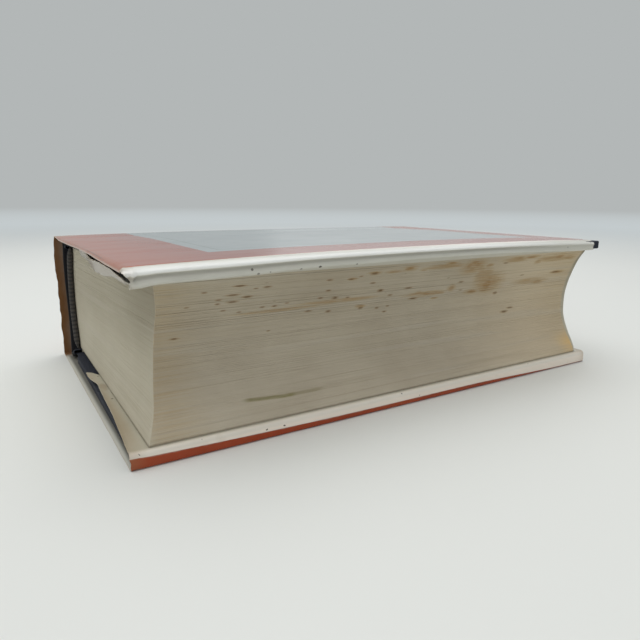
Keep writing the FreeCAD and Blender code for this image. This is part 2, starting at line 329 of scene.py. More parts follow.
def make_page_edges():
    """Edges of the aged leaves: fine lines, groups of leaves, foxing and stains.

    The sheet map has u round the pages, with the fore-edge in the middle, and z up.
    """
    f = Finish("page_edges", roughness=0.78, specular=0.3)
    sheet = f.sheet_place()
    u, z, _ = f.axes(sheet)
    fine = f.noise(sheet, 1.0, 2.0, 0.6, stretch=(16, 5200, 1))
    leaves = f.noise(sheet, 1.0, 3.0, 0.62, stretch=(9, 1300, 1), shift=(3, 1, 0))
    groups = f.noise(sheet, 1.0, 2.0, 0.5, stretch=(7, 260, 1), shift=(5, 7, 0))
    lined = z.rise(0.028, 0.044) + (1 - z.rise(0.012, 0.02)) * 0.9 + 0.3
    on_fore = u.rise(-0.1165, -0.1105) * (1 - u.rise(0.1150, 0.1200))
    mottle = f.noise(sheet, 26.0, 3.0, 0.6)

    paper_fore = f.mix(mottle.rise(0.3, 0.75), colour(176, 165, 145), colour(187, 177, 157))
    paper_fore = f.tint(paper_fore, u.rise(0.01, 0.105) * 0.85, 208, 192, 164)
    paper_ends = f.mix(mottle.rise(0.3, 0.75), colour(185, 177, 156), colour(192, 185, 165))
    corner = (1 - z.rise(0.030, 0.060)) * (1 - u.rise(-0.16, -0.118)) + u.rise(-0.190, -0.118)
    paper_ends = f.tint(paper_ends, corner * z.rise(0.020, 0.062) * 0.75, 138, 129, 109)
    base = f.mix(on_fore, paper_ends, paper_fore)
    warm = (1 - u.rise(-0.108, -0.088)) * 0.55 + u.rise(0.080, 0.122) * 0.5
    base = f.tint(base, warm * on_fore * leaves.rise(0.25, 0.7), 170, 148, 108)
    glow = u.rise(0.098, 0.114) * z.within(0.007, 0.014, 0.004)
    base = f.tint(base, glow * 0.75 * on_fore, 222, 186, 122)
    dark_line = (1 - leaves.rise(0.28, 0.50)) * 0.19 * lined + (1 - fine.rise(0.25, 0.5)) * 0.10
    base = f.tint(base, dark_line.least(1.0), 118, 102, 72)
    light_line = groups.rise(0.54, 0.68) * 0.25
    base = f.tint(base, light_line, 190, 183, 168)

    ragged = f.noise(sheet, 1.0, 3.0, 0.65, stretch=(420, 2200, 1), shift=(1, 4, 0)) - 0.5
    streaks = f.noise(sheet, 1.0, 3.0, 0.7, stretch=(150, 1500, 1), shift=(8, 2, 0))
    threads = f.noise(sheet, 1.0, 2.0, 0.6, stretch=(70, 2400, 1), shift=(6, 6, 0))
    stain, stain_near = spots(u, z, stain_marks, ragged, 1.4)
    halo = (1 - (stain_near * (1 + ragged)).rise(0.3, 7.0)) * threads.rise(0.30, 0.60)
    base = f.tint(base, halo * 0.55, 164, 134, 82)
    base = f.tint(base, stain * (streaks + threads * 0.6).rise(0.50, 0.90) * 0.78, 146, 108, 52)
    fox, fox_near = spots(u, z, foxing_marks, ragged, 1.6)
    halo = (1 - (fox_near * (1 + ragged * 1.6)).rise(0.6, 5.5)) * (0.2 + threads * 0.5)
    base = f.tint(base, halo, 142, 114, 72)
    small = f.noise(sheet, 1.0, 1.0, 0.5, stretch=(260, 1500, 1), shift=(2, 9, 0))
    zone = (u.within(-0.095, 0.050, 0.02) * z.within(0.043, 0.058, 0.003)).least(1.0)
    few = small.rise(0.72, 0.80) * zone * 0.5
    base = f.tint(base, fox.most(few) * (0.55 + threads * 0.6), 90, 62, 32)
    # A green line low on the left, and the dark line where the leaves meet the lower flap
    green_line = z - 0.0124 - (-0.062 - u).most(0.0) * 0.055
    olive = (1 - (green_line / 0.00075).size().rise(0.3, 1.0)) * (0.35 + streaks * 0.8)
    olive = olive * (u.within(-0.0775, -0.0575, 0.002) * 0.9 + u.within(-0.058, -0.045, 0.003) * 0.45)
    base = f.tint(base, olive.least(0.85), 122, 116, 68)
    seam = (1 - (z + ragged * 0.0006).rise(0.0061, 0.0071)) * 0.6
    base = f.tint(base, seam, 84, 74, 56)

    f.set(Base_Color=base, Roughness=0.72 + mottle * 0.15)
    f.bump(leaves * 0.6 + fine * 0.4, 0.00010)
    return f.material


def wear_near(place, where, reach, ragged):
    """1 on a line and 0 past its reach, with a ragged edge."""
    return 1 - (((place - where).size() + ragged * reach * 0.9) / reach).rise(0.15, 1.0)


def blot(u, v, centre, reach, ragged):
    """1 in an oval patch and 0 outside it, with a ragged edge."""
    across = ((u - centre[0]) / reach[0]).size() ** 2.0
    along = ((v - centre[1]) / reach[1]).size() ** 2.0
    return 1 - (across + along + ragged).rise(0.1, 1.2)


def make_print(name):
    """Glossy printed paper.

    The sheet map has u along the book and v across the unfolded jacket: 0 where the spine meets the lower
    cover and book_height where it meets the upper cover.
    """
    book_height = thickness * mm
    f = Finish(name, roughness=0.45, coat_roughness=0.18, specular=0.1)
    sheet = f.sheet_place()
    u, v, _ = f.axes(sheet)
    mottle = f.noise(sheet, 38.0, 4.0, 0.6)
    speck = f.noise(sheet, 900.0, 2.0, 0.6)
    ragged = f.noise(sheet, 260.0, 4.0, 0.65) - 0.5

    orange = f.mix(mottle.rise(0.25, 0.8), colour(150, 60, 28), colour(164, 70, 35))
    orange = f.tint(orange, speck.rise(0.6, 0.9) * 0.25, 190, 104, 70)
    pale = f.mix(mottle.rise(0.25, 0.8), colour(140, 150, 152), colour(152, 161, 162))
    pale = f.tint(pale, speck.rise(0.55, 0.9) * 0.2, 132, 141, 141)
    grey_green = f.mix(mottle, colour(112, 128, 124), colour(124, 138, 133))

    print_front = v - book_height
    print_back = -v
    far = print_front.most(print_back)
    panel = u.within(-0.0835, 0.0965, 0.00015) * (1 - far.rise(0.1335, 0.1337))
    rule = (u.within(-0.0775, 0.0905, 0.00012) * (1 - far.rise(0.1275, 0.1277))
            - u.within(-0.0767, 0.0897, 0.00012) * (1 - far.rise(0.1267, 0.1269)))
    on_spine = v.within(0.0008, 0.0647, 0.0001)
    on_cover = far.rise(0.012, 0.0121)
    # Three plain bars stand for the print of the front, and plain bands and a label for that of the spine
    front = print_front.rise(0.0, 0.0002)
    bars = (u.within(-0.055, 0.069, 0.0002) * print_front.within(0.040, 0.0412, 0.0001)
            + u.within(-0.055, 0.069, 0.0002) * print_front.within(0.0435, 0.0439, 0.0001)
            + u.within(-0.020, 0.034, 0.0002) * print_front.within(0.088, 0.0884, 0.0001)) * front
    spine_bands = (u.within(-0.0700, -0.0660, 0.0001) + u.within(0.0790, 0.0830, 0.0001)
                   + u.within(-0.0640, -0.0634, 0.0001) + u.within(0.0764, 0.0770, 0.0001)).least(1.0)
    spine_label = on_spine * u.within(-0.030, 0.043, 0.0001) * v.within(0.016, 0.0495, 0.0001)

    # The margin of the front is worn lighter near the tail and duller towards the head
    worn_margin = f.mix(u.rise(-0.118, -0.078), colour(168, 80, 47), colour(138, 59, 37))
    orange = f.mix(front * (1 - print_front.rise(0.1556, 0.1560)) * 0.85, orange, worn_margin)
    base = f.mix(panel, orange, pale)
    base = f.mix(panel * (rule * on_cover).least(1.0) * 0.9, base, grey_green)
    base = f.mix((bars * panel).least(1.0) * 0.85, base, grey_green)
    base = f.mix(on_spine * spine_bands * panel, base, orange)
    base = f.mix(spine_label * panel, base, orange)

    # The print ends on the fore-edge folds. On the lower one it stands highest at the tail
    book_share = (u + 0.121) / 0.24
    tail_rise = (1 - book_share / 0.45).most(0.0) ** 2.0
    edge_back = 0.15979 + tail_rise * 0.00205 - book_share.rise(0.62, 0.95) * 0.0016 + ragged * 0.00015
    past_front = (print_front - 0.1558 + u * 0.0015 + ragged * 0.0002).rise(-0.0001, 0.0001)
    past_back = (print_back - edge_back).rise(-0.0001, 0.0001)
    flap = past_front.most(past_back)
    white = f.mix(mottle.rise(0.2, 0.8), colour(196, 194, 182), colour(205, 203, 192))
    # Painted light: the lower fold is painted much lighter than the same paper on the upper fold; past its
    # crest it turns to the flap's plainer white
    lower_white_lit = f.mix(mottle.rise(0.2, 0.8), colour(238, 227, 212), colour(244, 233, 219))
    white_inner = f.mix(mottle.rise(0.2, 0.8), colour(180, 174, 154), colour(189, 183, 164))
    lower_white_lit = f.mix(print_back.rise(0.1622, 0.1654), lower_white_lit, white_inner)
    base = f.mix(flap, base, f.mix(past_back, white, lower_white_lit))
    # Painted highlight along the lower fold's crest
    ridge_highlight = print_back.within(0.1618, 0.1632, 0.0006) * past_back
    base = f.tint(base, ridge_highlight * 0.5, 216, 212, 200)
    toward_head = u.rise(0.030, 0.100)
    # Painted highlight along the top of the upper fold's roll, weaker towards the head
    roll_highlight = print_front.rise(0.1560, 0.1589) * (1 - print_front.rise(0.1595, 0.1601)) * past_front
    base = f.tint(base, roll_highlight * (1 - toward_head * 0.55), 242, 242, 237)
    # Painted shade in the crease beneath the roll, weaker towards the head
    crease_shade = print_front.within(0.1602, 0.1614, 0.0005) * (0.6 + mottle * 0.5) * (1 - toward_head * 0.6)
    base = f.tint(base, crease_shade * 0.8, 154, 150, 140)
    # The flap's margin at the tail, bent up before the upper board: painted shade makes it greyer, and a
    # painted highlight runs along its fold
    on_margin = (1 - u.rise(-0.1172, -0.1162)) * print_front.rise(0.1655, 0.1675)
    base = f.tint(base, on_margin * 0.92, 150, 145, 131)
    # Painted highlight: a thin light line along the margin's fold
    margin_fold_highlight = u.within(-0.1184, -0.1174, 0.0003) * print_front.within(0.168, 0.222, 0.004)
    base = f.tint(base, margin_fold_highlight * 0.6, 196, 192, 180)

    # Age and rubbing at the folds and the cut ends
    tail_end = 1 - (u + 0.1205 + ragged * 0.003).rise(0.0, 0.006)
    head_end = (u - 0.1195 + ragged * 0.003).rise(-0.006, 0.0)
    ends = tail_end.most(head_end)
    base = f.tint(base, ends * 0.30, 150, 118, 82)
    rubbed = wear_near(v, book_height, 0.0010, ragged).most(wear_near(v, 0.0, 0.0010, ragged))
    rubbed = rubbed.most(wear_near(print_back, edge_back, 0.0005, ragged) * 0.4)
    rubbed = rubbed * f.noise(sheet, 120.0, 3.0, 0.7).rise(0.38, 0.62)
    base = f.tint(base, rubbed * 0.75, 206, 196, 180)
    sunned = on_spine * 0.16
    base = f.tint(base, sunned, 186, 158, 118)
    stain = flap * f.noise(sheet, 46.0, 4.0, 0.65, shift=(3, 3, 0)).rise(0.60, 0.75) * 0.22
    base = f.tint(base, stain, 158, 134, 96)
    # Brown marks on the flaps at the tail, the rubbed margin of the upper sheet, and painted shade just
    # inside its edge
    lower_mark = blot(u, print_back, (-0.1158, 0.2345), (0.0016, 0.0060), ragged)
    upper_mark = blot(u, print_front, (-0.1190, 0.2245), (0.0030, 0.0060), ragged)
    base = f.tint(base, lower_mark * 0.45, 140, 116, 86)
    base = f.tint(base, upper_mark * 0.7, 112, 88, 58)
    browned = (1 - u.rise(-0.1178, -0.1145)) * print_back.within(0.175, 0.232, 0.012)
    base = f.tint(base, browned * (0.2 + mottle * 0.4), 158, 138, 108)
    on_sheet = front * (1 - print_front.rise(0.1560, 0.1565))
    rim = 1 - (u + ragged * 0.0005).rise(-0.11945, -0.1191)
    base = f.tint(base, rim * on_sheet * 0.7, 190, 170, 152)
    corner_tan = (1 - u.rise(-0.120, -0.104)) * (1 - print_front.rise(0.001, 0.014)) * on_sheet
    base = f.tint(base, corner_tan * 0.6, 178, 150, 106)
    # Painted shade: a thin dark line just inside the upper sheet's tail edge
    edge_shade_line = u.within(-0.11890, -0.11845, 0.0001) * (print_front.within(0.091, 0.124, 0.005) * 0.6
                                                    + print_front.within(0.055, 0.092, 0.008) * 0.25)
    base = f.tint(base, edge_shade_line * (0.5 + mottle), 84, 50, 38)
    pin = past_back * f.noise(sheet, 420.0, 1.0, 0.5, shift=(5, 1, 0)).rise(0.745, 0.77)
    for x, share, size, strength in fold_specks:
        across = (u - x * mm) / (size * mm)
        down = (print_front - (0.15565 + share * 0.00996)) / (size * 0.8 * mm)
        pin = pin.most((1 - (across * across + down * down + ragged * 1.2).rise(0.35, 1.0)) * strength)
    base = f.tint(base, pin * 0.9, 54, 42, 31)

    scuff = f.noise(sheet, 18.0, 5.0, 0.7, stretch=(1, 3, 1)).rise(0.45, 0.75)
    f.set(Base_Color=base, Roughness=0.38 + scuff * 0.16 + rubbed * 0.3,
          Coat_Weight=(0.92 - scuff * 0.12 - rubbed * 0.5 - far.rise(0.1550, 0.1568) * 0.45).most(0.0))
    f.bump(mottle * 0.7 + speck * 0.08 + rubbed * 0.3, 0.00012)
    return f.material


def make_plain_paper(name, light, dark, brown, edge_reach, at_spine=False, roughness=0.8):
    """Uncoated paper with fibres, browned towards the ends of the book."""
    f = Finish(name, roughness=roughness, specular=0.25)
    sheet = f.sheet_place()
    u, v, _ = f.axes(sheet)
    mottle = f.noise(sheet, 30.0, 4.0, 0.6)
    fibre = f.noise(sheet, 1.0, 3.0, 0.6, stretch=(500, 1300, 1))
    base = f.mix(mottle.rise(0.25, 0.75), light, dark)
    base = f.mix(fibre.rise(0.5, 0.8) * 0.2, base, dark)
    near_end = (u.size() + (mottle - 0.5) * 0.010).rise(0.1205 - edge_reach, 0.121)
    sunned = v.within(-0.006, 0.071, 0.004) * 0.92 + 0.05 if at_spine else 0.85
    base = f.mix(near_end * sunned, base, brown)
    if at_spine:
        # Painted shade on the inner face of the lower panel near the tail end, at the board's foot under the
        # flap
        board_foot_shade = u.rise(-0.1207, -0.1188) * (1 - u.rise(-0.110, -0.100)) * v.within(-0.155, -0.006, 0.003)
        base = f.tint(base, board_foot_shade * 0.75, 62, 58, 48)
    f.set(Base_Color=base, Roughness=roughness + mottle * 0.1)
    f.bump(fibre * 0.5 + mottle * 0.5, 0.00006)
    return f.material


def make_book_cloth():
    """Navy book cloth: a fine plain weave, lighter where its corners are rubbed."""
    f = Finish("navy_book_cloth", roughness=0.85, sheen=0.05, specular=0.25)
    place = f.place()
    x, y, z = f.axes(place)
    thread = 2 * math.pi / 0.00062
    across = (x * thread).wave()
    along = ((y + z) * thread).wave()
    weave = (across * along) * 0.5 + 0.5
    slub = f.noise(place, 1.0, 2.0, 0.6, stretch=(90, 1400, 1400))
    slub2 = f.noise(place, 1.0, 2.0, 0.6, stretch=(1400, 90, 1400), shift=(4, 4, 4))
    base = f.mix(weave, colour(18, 21, 31), colour(31, 36, 49))
    base = f.tint(base, (slub + slub2).rise(0.95, 1.3) * 0.5, 48, 53, 66)
    worn = f.noise(place, 70.0, 4.0, 0.7)
    base = f.tint(base, worn.rise(0.58, 0.75) * 0.3, 70, 73, 82)
    # Painted shade: the case spine's cloth at the tail end is darkened almost to black, as it lies in deep
    # shade inside the jacket
    spine_tail_shade = (1 - x.rise(-0.1172, -0.1140)) * y.rise(0.0615, 0.0640)
    base = f.tint(base, spine_tail_shade * 0.85, 16, 14, 14)
    f.set(Base_Color=base, Roughness=0.78 + weave * 0.15)
    f.bump(weave * 0.7 + slub * 0.3, 0.00012)
    return f.material


def make_board_finish(name, light, dark):
    """Pressed grey fibre board or card."""
    f = Finish(name, roughness=0.9, specular=0.2)
    place = f.place()
    mottle = f.noise(place, 240.0, 4.0, 0.7)
    layers = f.noise(place, 1.0, 2.0, 0.6, stretch=(60, 60, 2600))
    base = f.mix(mottle.rise(0.3, 0.7), light, dark)
    base = f.mix(layers.rise(0.5, 0.8) * 0.35, base, dark)
    f.set(Base_Color=base, Roughness=0.85 + mottle * 0.1)
    f.bump(mottle, 0.0001)
    return f.material


def make_gauze():
    """Open stiffened gauze, stained by glue."""
    f = Finish("mull_gauze", roughness=0.9, specular=0.2)
    place = f.place()
    x, y, z = f.axes(place)
    thread = 2 * math.pi / 0.0013
    net = (x * thread).wave().most((z * thread).wave())
    glue = f.noise(place, 50.0, 3.0, 0.6)
    base = f.mix(net.rise(0.35, 0.8), colour(128, 108, 74), colour(206, 198, 176))
    base = f.tint(base, glue.rise(0.5, 0.75) * 0.4, 150, 122, 76)
    f.set(Base_Color=base, Roughness=0.95 - glue * 0.3)
    f.bump(net, 0.0002)
    return f.material


def make_band_finish():
    """Ribbed woven band, grey-brown with a paler dot on each turn."""
    f = Finish("woven_band", roughness=0.8, sheen=0.05, specular=0.25)
    sheet = f.sheet_place()
    u, v, _ = f.axes(sheet)
    stripe = (u * (2 * math.pi / 0.0022)).wave()
    fuzz = f.noise(sheet, 1.0, 3.0, 0.7, stretch=(700, 2600, 1))
    base = f.mix(stripe.rise(-0.6, 0.6), colour(54, 52, 51), colour(76, 72, 67))
    base = f.tint(base, fuzz.rise(0.5, 0.8) * 0.3, 88, 83, 74)
    f.set(Base_Color=base, Roughness=0.75 + fuzz * 0.2)
    f.bump(fuzz, 0.0002)
    return f.material


page_edges = make_page_edges()
jacket_print = make_print("jacket_print")
jacket_inside = make_plain_paper("jacket_inside", colour(212, 211, 200), colour(202, 200, 187),
                                 colour(114, 74, 34), 0.016, at_spine=True)
paper_cut = make_plain_paper("paper_cut", colour(206, 200, 186), colour(192, 184, 166),
                             colour(176, 156, 126), 0.002)
endpaper = make_plain_paper("endpaper", colour(190, 184, 168), colour(182, 175, 158),
                            colour(168, 150, 120), 0.008)
book_cloth = make_book_cloth()
grey_board = make_board_finish("grey_board", colour(140, 136, 128), colour(116, 112, 104))
brown_card = make_board_finish("brown_card", colour(150, 124, 90), colour(126, 102, 72))
kraft = make_board_finish("kraft_paper", colour(160, 132, 96), colour(140, 112, 78))
gauze = make_gauze()
band_finish = make_band_finish()


# Making pieces

def clear_selection():
    if bpy.context.object and bpy.context.object.mode != "OBJECT":
        bpy.ops.object.mode_set(mode="OBJECT")
    bpy.ops.object.select_all(action="DESELECT")


def choose(piece):
    """Makes the piece the only one selected, and the active one."""
    clear_selection()
    piece.select_set(True)
    bpy.context.view_layer.objects.active = piece


def settle(piece):
    """Applies the object's place to its mesh."""
    choose(piece)
    bpy.ops.object.transform_apply(location=True, rotation=True, scale=True)


def modify(piece, kind, **settings):
    """Adds a modifier and applies it."""
    choose(piece)
    modifier = piece.modifiers.new("shaping", kind)
    for key, value in settings.items():
        setattr(modifier, key, value)
    bpy.ops.object.modifier_apply(modifier=modifier.name)


def dress(piece, *materials):
    piece.data.materials.clear()
    for material in materials:
        piece.data.materials.append(material)


def soften(piece, degrees):
    """Smooth shading, with a sharp edge where the faces meet at more than the angle."""
    choose(piece)
    bpy.ops.object.shade_smooth_by_angle(angle=math.radians(degrees))


def points_of(mesh):
    """The points of a mesh as rows of x, y, z."""
    flat = np.zeros(len(mesh.vertices) * 3, np.float32)
    mesh.vertices.foreach_get("co", flat)
    return flat.reshape(-1, 3)


def lay_points(mesh, places, layer, sheet):
    """Moves the points to their places, and gives each its place (u, v) on the sheet map, all in mm."""
    mesh.vertices.foreach_set("co", (places * mm).astype(np.float32).ravel())
    corner = np.zeros(len(mesh.loops), np.int32)
    mesh.loops.foreach_get("vertex_index", corner)
    layer.data.foreach_set("uv", (sheet[corner] * mm).astype(np.float32).ravel())
    mesh.update()


def lay_sheet(name, columns, rows, place, outward):
    """A grid laid point by point. place(i, j) gives (x, y, z, u, v) in mm.

    The faces are turned round where outward(mesh) is below zero.
    """
    clear_selection()
    bpy.ops.mesh.primitive_grid_add(x_subdivisions=columns - 1, y_subdivisions=rows - 1, size=2)
    piece = bpy.context.object
    piece.name = name
    mesh = piece.data
    flat = points_of(mesh)
    column = np.rint((flat[:, 0] + 1) / 2 * (columns - 1)).astype(int)
    row = np.rint((flat[:, 1] + 1) / 2 * (rows - 1)).astype(int)
    laid = np.array([place(i, j) for i, j in zip(column, row)], float)
    layer = mesh.uv_layers[0] if mesh.uv_layers else mesh.uv_layers.new()
    layer.name = "sheet"
    lay_points(mesh, laid[:, :3], layer, laid[:, 3:5])
    if outward(mesh) < 0:
        mesh.flip_normals()
    mesh.update()
    return piece


def facing(axis, sign, test):
    """How far the faces whose centre passes the test face along an axis."""
    def measure(mesh):
        return sign * sum(p.normal[axis] * p.area for p in mesh.polygons if test(p.center / mm))
    return measure


def fold_line(points, share):
    """The place on a smooth line through (y, height) points, at a share of its length."""
    points = np.array(points, float)
    steps = np.concatenate(([0], np.cumsum(np.hypot(*np.diff(points, axis=0).T))))
    y = through(list(zip(steps / steps[-1], points[:, 0])))
    h = through(list(zip(steps / steps[-1], points[:, 1])))
    return y(share), h(share)


# Pages

# Y of the hollow fore-edge and X of its tail corner, both by height
fore_depth = through(((6.0, -77.0), (8, -76.05), (11, -73.35), (15, -69.5), (20, -66.15), (25, -64.0),
                      (30, -63.3), (35, -63.15), (40, -63.75), (45, -65.0), (50, -66.75), (55, -69.5),
                      (60.4, -73.8)))
tail_fore = through(((6.0, -114.8), (8, -113.9), (11, -112.3), (15, -110.5), (20, -109.4), (25, -108.6),
                     (33, -107.9), (42, -107.3), (50, -107.1), (55, -107.9), (60.4, -109.2)))
back_y, back_z, back_radius = circle_through((65.25, 6.0), (71.45, 33.2), (61.45, 60.4))
tail_back = -114.25


def back_depth(z):
    return back_y + math.sqrt(back_radius ** 2 - (z - back_z) ** 2)


def tail_place(y, z):
    """X of the pages' tail end at a place across the book."""
    share = (y - fore_depth(z)) / (back_depth(z) - fore_depth(z))
    return tail_fore(z) + (tail_back - tail_fore(z)) * share


fore_columns, end_columns, back_columns = 100, 46, 22
columns_round = 2 * end_columns + fore_columns + back_columns
leaf_layers = 170
rings = 2 * leaf_layers
layer_height = (pages_high - pages_low) / leaf_layers
out_step = rng.normal(0, 1.0, leaf_layers)
section_length = rng.integers(6, 12, 40)
section_of = np.repeat(np.arange(40), section_length)[:leaf_layers]
section_out = rng.normal(0, 0.045, 40)[section_of]
section_edge = np.concatenate(([0], np.diff(section_of))) > 0


def leaf_offset(k, run, at_end):
    """How far layer k stands out, in mm, at a distance run round the pages."""
    height = pages_low + (k + 0.5) * layer_height
    rough = 0.018 + 0.030 * smooth(28, 44, height) + 0.030 * smooth(18, 12, height)
    offset = section_out[k] * 0.8 + out_step[k] * rough
    if section_edge[k]:
        offset -= 0.05
    offset += 0.10 * wander(run * 0.012, k * 0.45, 3.0) + 0.05 * wander(run * 0.05, k * 0.8, 9.0)
    return offset * (0.45 if at_end else 1.0)


def round_pages(column, z, k):
    """X, Y and way round the pages of a point of layer k, counted from the fore-edge's tail corner."""
    fore = fore_depth(z)
    back = back_depth(z)
    if column < fore_columns:
        share = column / fore_columns
        x = tail_fore(z) + share * page_length
        out = leaf_offset(k, x, False)
        return x, fore - out, x
    column -= fore_columns
    if column < end_columns:
        y = fore + (back - fore) * (column / end_columns)
        run = page_length / 2 + y + 80
        out = leaf_offset(k, run, True)
        return tail_place(y, z) + page_length + out, y, 6.0 + run
    column -= end_columns
    if column < back_columns:
        share = column / back_columns
        x = tail_back + page_length * (1 - share)
        return x, back, 300.0 - x
    column -= back_columns
    y = back - (back - fore) * (column / end_columns)
    run = -(page_length / 2 + 6.0 + y + 80)
    out = leaf_offset(k, run, True)
    return tail_place(y, z) - out, y, run + 1.0


def make_leaves():
    """The leaves as many thin layers, drawn up from one ring."""
    clear_selection()
    bpy.ops.mesh.primitive_circle_add(vertices=columns_round, radius=1.0, fill_type="NOTHING")
    piece = bpy.context.object
    piece.name = "leaves"
    modify(piece, "SCREW", angle=0.0, screw_offset=1.0, steps=rings - 1, render_steps=rings - 1,
           use_merge_vertices=False, use_smooth_shade=False)
    mesh = piece.data
    flat = points_of(mesh)
    ring = np.rint(flat[:, 2] * (rings - 1)).astype(int)
    turn = np.arctan2(flat[:, 1], flat[:, 0]) / (2 * math.pi)
    column = np.rint((turn - turn[0]) * columns_round).astype(int) % columns_round
    co = np.zeros((len(flat), 3))
    run = np.zeros(len(flat))
    for n, (r, c) in enumerate(zip(ring, column)):
        k = r // 2
        z = pages_low + (k + (0.10 if r % 2 == 0 else 0.90)) * layer_height
        if r == 0:
            z = pages_low
        if r == rings - 1:
            z = pages_high
        x, y, run[n] = round_pages(c, z, k)
        co[n] = (x, y, z)
    lay_points(mesh, co, mesh.uv_layers.new(name="sheet"), np.stack((run, co[:, 2]), 1))
    # The two flat ends are closed
    choose(piece)
    for end in (0, rings - 1):
        bpy.ops.object.mode_set(mode="EDIT")
        bpy.ops.mesh.select_all(action="DESELECT")
        bpy.ops.object.mode_set(mode="OBJECT")
        mesh.vertices.foreach_set("select", ring == end)
        bpy.ops.object.mode_set(mode="EDIT")
        bpy.ops.mesh.select_mode(type="VERT")
        bpy.ops.mesh.edge_face_add()
    bpy.ops.mesh.select_all(action="SELECT")
    bpy.ops.mesh.normals_make_consistent(inside=False)
    bpy.ops.object.mode_set(mode="OBJECT")
    dress(piece, page_edges)
    soften(piece, 32)
    return piece


leaves = make_leaves()
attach(leaves, "pages_and_spine")
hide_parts("text_block")


def make_flyleaf(name, z, fold_z, upper):
    """Free endpaper leaf on the pages, folded at the joint towards the pastedown."""
    rows_flat, rows_fold = 46, 10
    rows = rows_flat + rows_fold
    columns = 64
    start = fore_depth(z) + 0.15
    joint = 61.9
    turn = (fold_z - z) / 2

    def place(i, j):
        share = i / (columns - 1)
        if j < rows_flat:
            y = start + (joint - start) * j / (rows_flat - 1)
            height = z + 0.02 * wander(share * 9, y * 0.05, 4.0) * (1 if upper else 0)
        else:
            angle = math.pi * (j - rows_flat + 1) / rows_fold
            y = joint + abs(turn) * 1.3 * math.sin(angle) - (0.45 if j == rows - 1 else 0)
            height = z + turn * (1 - math.cos(angle))
        low = tail_place(min(y, 61.0), z)
        x = low + 0.1 + (page_length - 0.2) * share
        return x, y, height, x, y
    piece = lay_sheet(name, columns, rows, place, facing(2, 1 if upper else -1, lambda c: c.y < 50))
    modify(piece, "SOLIDIFY", thickness=0.18 * mm, offset=0.0, use_even_offset=False)
    dress(piece, endpaper)
    soften(piece, 40)
    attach(piece, "pages_and_spine")
    return piece


upper_flyleaf = make_flyleaf("upper_flyleaf", 60.3, 61.15, True)
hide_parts("front_flyleaf")
lower_flyleaf = make_flyleaf("lower_flyleaf", 6.1, 4.36, False)
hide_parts("back_flyleaf")


# Head and tail bands

def make_band(name, x_centre, toward):
    """A bead of thread turns along the back of the pages, with its glued strip."""
    turns = 50
    per_turn = 8
    along = turns * per_turn + 1
    around = 13
    centre_radius = back_radius + 0.3 - 1.5
    low_angle = math.asin((6.1 - back_z) / centre_radius)
    high_angle = math.asin((60.3 - back_z) / centre_radius)

    def place(i, j):
        share = i / (along - 1)
        angle = low_angle + (high_angle - low_angle) * share
        pinch = min(1.0, 12 * share, 12 * (1 - share)) ** 0.5
        rib = 1.30 + 0.17 * abs(math.sin(math.pi * share * turns))
        bead = rib * max(pinch, 0.05)
        turn = 2 * math.pi * j / (around - 1)
        radius = centre_radius + bead * math.sin(turn)
        x = x_centre + toward * bead * math.cos(turn)
        return (x, back_y + radius * math.cos(angle), back_z + radius * math.sin(angle),
                share * 56, j / (around - 1) * 9)
    piece = lay_sheet(name, along, around, place, lambda mesh: 1)
    choose(piece)
    bpy.ops.object.mode_set(mode="EDIT")
    bpy.ops.mesh.select_all(action="SELECT")
    bpy.ops.mesh.remove_doubles(threshold=0.01 * mm)
    bpy.ops.mesh.select_all(action="DESELECT")
    bpy.ops.mesh.select_non_manifold()
    bpy.ops.mesh.edge_face_add()
    bpy.ops.mesh.select_all(action="SELECT")
    bpy.ops.mesh.normals_make_consistent(inside=False)
    bpy.ops.object.mode_set(mode="OBJECT")

    def strip_place(i, j):
        share = i / 40
        angle = low_angle + (high_angle - low_angle) * share
        x = x_centre - toward * 13.5 * (1 - j / 6)
        radius = back_radius + 0.15
        return (x, back_y + radius * math.cos(angle), back_z + radius * math.sin(angle),
                share * 56, 10 + j * 2)
    strip = lay_sheet(name + "_strip", 41, 7, strip_place, facing(1, 1, lambda c: True))
    modify(strip, "SOLIDIFY", thickness=0.28 * mm, offset=0.0)
    choose(piece)
    strip.select_set(True)
    bpy.ops.object.join()
    dress(piece, band_finish)
    soften(piece, 50)
    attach(piece, "pages_and_spine")
    return piece


tail_band = make_band("tail_band_woven", -115.75, -1)
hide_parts("tail_band")
head_band = make_band("head_band_woven", 114.05, 1)
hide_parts("head_band")


# Case: boards, their cloth, and the spine

case_half = 118.9
lower_case_x = -0.25
upper_case_x = 2.25
board_fore = -76.8
board_back = 54.45
board_low = 0.7
board_high = 3.8
cover_inner = 4.25
turn_in = 15


def slant(x, y, centre):
    """The lower case sits a little askew in the jacket: its tail end slants."""
    tail_share = smooth(60, -110, x - centre)
    return x + tail_share * (0.15 + 1.3 * (y + 77) / 139)


def press_out(x, y):
    """The upper case's corner at the head presses forward into the jacket's fold, and its tail end slants."""
    inward_at_tail = 1.5 * smooth(-77, 54, y) - 2.4 * smooth(54.9, 61.5, y)
    return x + smooth(0, -110, x) * inward_at_tail, y - 1.5 * smooth(10, 118, x) * smooth(40, -70, y)


def pick_faces(piece, test):
    """Selects the faces whose centre, in mm, and normal pass the test."""
    bpy.ops.object.mode_set(mode="OBJECT")
    for item in piece.data.vertices:
        item.select = False
    for item in piece.data.edges:
        item.select = False
    for face in piece.data.polygons:
        face.select = bool(test(face.center / mm, face.normal))
    bpy.ops.object.mode_set(mode="EDIT")
    bpy.ops.mesh.select_mode(type="FACE")


def start_box(name, low, high):
    clear_selection()
    low, high = Vector(low), Vector(high)
    bpy.ops.mesh.primitive_cube_add(size=1, location=(low + high) / 2 * mm)
    piece = bpy.context.object
    piece.name = name
    piece.scale = (high - low) * mm
    settle(piece)
    return piece


